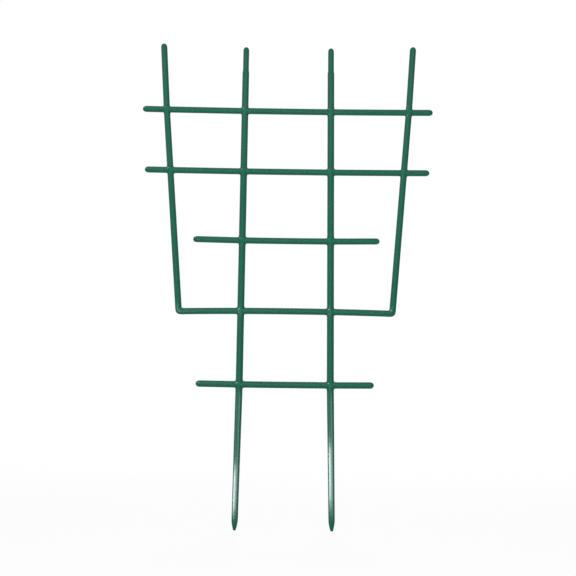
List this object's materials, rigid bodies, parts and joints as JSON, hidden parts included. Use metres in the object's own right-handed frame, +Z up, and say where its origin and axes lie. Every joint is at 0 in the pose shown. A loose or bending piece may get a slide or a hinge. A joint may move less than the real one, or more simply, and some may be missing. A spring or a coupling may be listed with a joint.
{
  "type": "fan trellis",
  "caption": "Flat fan-shaped trellis of round moulded plastic bars with pointed legs, pushed into the soil of a plant pot to carry a climbing plant.",
  "frame": {"origin": "midway between the stakes on the soil line, 80 mm above the flat ends of the leg points, in the middle of the bars' thickness", "axes": "+Z up along the stakes, +X across the trellis to the right as seen from the front, +Y through its thickness towards the back"},
  "size_m": [0.2088, 0.0048, 0.3419],
  "materials": {
    "moulded_plastic": "smooth glossy mid-green polypropylene, as it leaves the mould"
  },
  "bodies": {
    "root": {"left_stake": "moulded_plastic", "right_stake": "moulded_plastic", "left_upright": "moulded_plastic", "right_upright": "moulded_plastic", "top_bar": "moulded_plastic", "second_bar": "moulded_plastic", "short_bar": "moulded_plastic", "foot_bar": "moulded_plastic", "lowest_bar": "moulded_plastic"}
  },
  "joints": []
}
